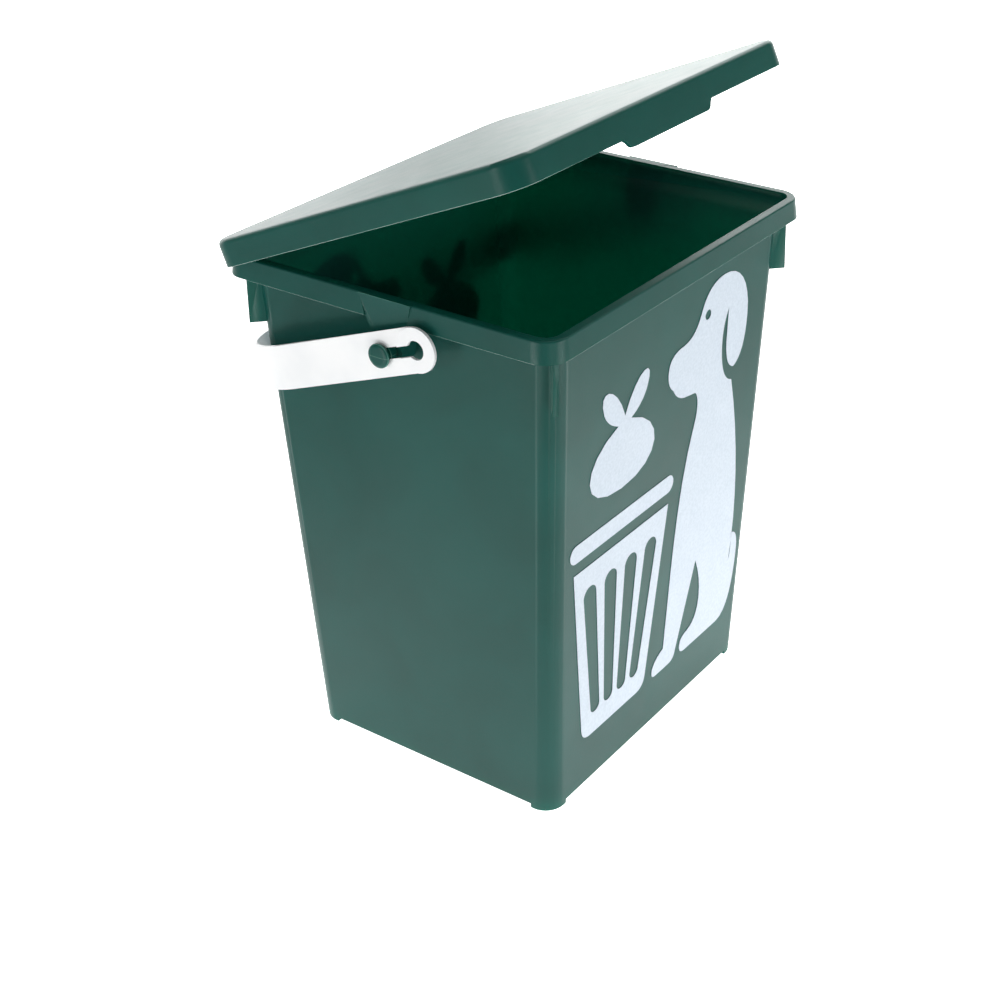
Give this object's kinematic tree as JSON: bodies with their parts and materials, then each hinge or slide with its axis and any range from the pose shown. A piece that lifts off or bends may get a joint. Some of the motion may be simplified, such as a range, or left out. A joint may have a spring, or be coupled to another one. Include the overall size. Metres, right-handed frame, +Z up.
{
  "type": "dog waste bin",
  "caption": "Tapered rectangular plastic bin with a rear-hinged tray lid, a keyhole strap handle on side studs and a printed dog-and-bin pictogram.",
  "frame": {"origin": "on the floor, under the middle of the whole bin with its handle down and its lid part open", "axes": "+Z up; -Y the printed front with the lid's lifting tab; X across, along the stud and hinge axes"},
  "size_m": [0.265, 0.2329, 0.3893],
  "materials": {
    "green_polypropylene": "satin, fine moulded grain, slightly translucent",
    "white_polypropylene": "satin, smooth",
    "white_ink": "thin screen-printed ink"
  },
  "bodies": {
    "bucket": {"bucket": "green_polypropylene", "print_front_dog": "white_ink", "print_front_bag": "white_ink", "print_front_bin": "white_ink", "print_front_bin_rim": "white_ink", "print_rear_dog": "white_ink", "print_rear_bag": "white_ink", "print_rear_bin": "white_ink", "print_rear_bin_rim": "white_ink"},
    "lid": {"lid": "green_polypropylene"},
    "handle_studs": {"handle_stud_left": "green_polypropylene", "handle_stud_right": "green_polypropylene"},
    "handle": {"handle_strap": "white_polypropylene"}
  },
  "joints": [
    {"name": "lid_hinge", "type": "hinge", "parent": "bucket", "child": "lid", "pos_m": [0, 0.107, 0.29], "axis": [-1, 0, 0], "range_deg": [-23.15, 84.85]},
    {"name": "handle_swing", "type": "hinge", "parent": "bucket", "child": "handle_studs", "pos_m": [0, -0.013, 0.271], "axis": [1, 0, 0], "range_deg": [0, 110.2], "deforming": ["handle_strap"]},
    {"name": "handle_extend", "type": "slide", "parent": "handle_studs", "child": "handle", "axis": [0, 0.9385, -0.3453], "range_m": [0, 0.0246]}
  ],
  "couplings": [
    {"joint": "handle_extend", "follows": "handle_swing", "m_per_rad": 0.01278}
  ]
}
